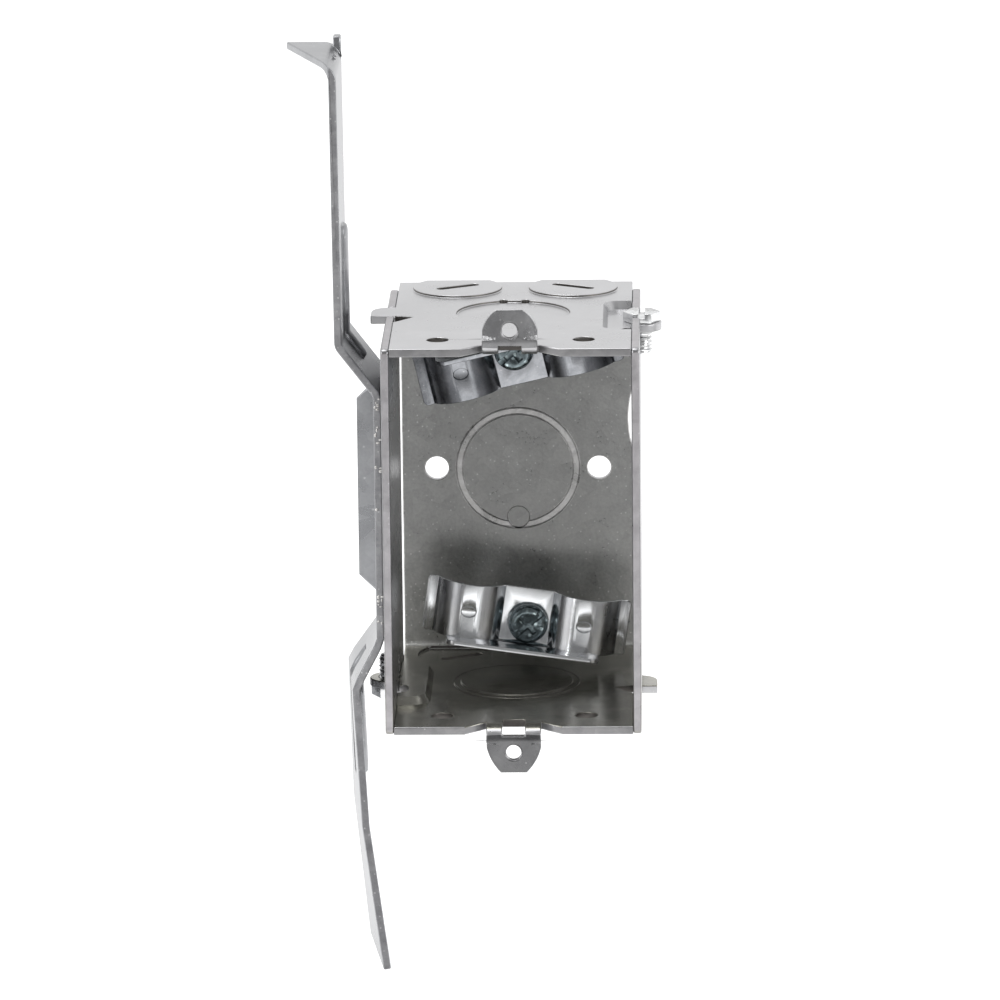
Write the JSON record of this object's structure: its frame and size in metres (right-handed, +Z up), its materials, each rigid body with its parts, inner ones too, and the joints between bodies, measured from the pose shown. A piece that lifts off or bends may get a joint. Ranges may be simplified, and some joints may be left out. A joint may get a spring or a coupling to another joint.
{
  "type": "switch box",
  "caption": "Gangable galvanized steel device box, open at the front, with removable side plates, internal cable clamps and a bent stud bracket",
  "frame": {"origin": "midway between the two device screw holes, on the front face of the ears", "axes": "X to the right, Y into the box from its open front, Z up"},
  "size_m": [0.0728, 0.0638, 0.1827],
  "materials": {
    "galvanized_sheet": "dull hot-dip galvanized steel with a fine spangle",
    "galvanized_strip": "galvanized steel strip, slightly bluish",
    "zinc_plate": "bright zinc-plated steel",
    "zinc_screw": "zinc-plated screw, slightly dark"
  },
  "bodies": {
    "root": {"box_body": "galvanized_sheet", "left_side_plate": "galvanized_sheet", "right_side_plate": "galvanized_sheet", "stud_bracket": "galvanized_strip"},
    "upper_clamp": {"upper_clamp": "zinc_plate"},
    "lower_clamp": {"lower_clamp": "zinc_plate"},
    "upper_clamp_screw": {"upper_clamp_screw": "zinc_screw"},
    "lower_clamp_screw": {"lower_clamp_screw": "zinc_screw"},
    "right_gang_screw": {"right_gang_screw": "zinc_screw"},
    "left_gang_screw": {"left_gang_screw": "zinc_screw"}
  },
  "joints": [
    {"name": "upper_clamp_slide", "type": "slide", "parent": "root", "child": "upper_clamp", "axis": [0, 1, 0], "range_m": [0, 0.0127]},
    {"name": "lower_clamp_slide", "type": "slide", "parent": "root", "child": "lower_clamp", "axis": [0, 1, 0], "range_m": [0, 0.0127]},
    {"name": "upper_clamp_screw_turn", "type": "hinge", "parent": "upper_clamp", "child": "upper_clamp_screw", "pos_m": [-0.00025, 0.0458, 0.0277], "axis": [0, 1, 0], "range_deg": [0, 5760]},
    {"name": "lower_clamp_screw_turn", "type": "hinge", "parent": "lower_clamp", "child": "lower_clamp_screw", "pos_m": [0.00205, 0.0458, -0.0277], "axis": [0, 1, 0], "range_deg": [0, 5760]},
    {"name": "right_gang_screw_turn", "type": "hinge", "parent": "root", "child": "right_gang_screw", "pos_m": [0.025, 0.03175, 0.0365], "axis": [0, 0, 1], "range_deg": [0, 360]},
    {"name": "left_gang_screw_turn", "type": "hinge", "parent": "root", "child": "left_gang_screw", "pos_m": [-0.025, 0.03175, -0.0365], "axis": [0, 0, -1], "range_deg": [0, 360]}
  ],
  "couplings": [
    {"joint": "upper_clamp_screw_turn", "follows": "upper_clamp_slide", "rad_per_m": 7915.8},
    {"joint": "lower_clamp_screw_turn", "follows": "lower_clamp_slide", "rad_per_m": 7915.8}
  ]
}
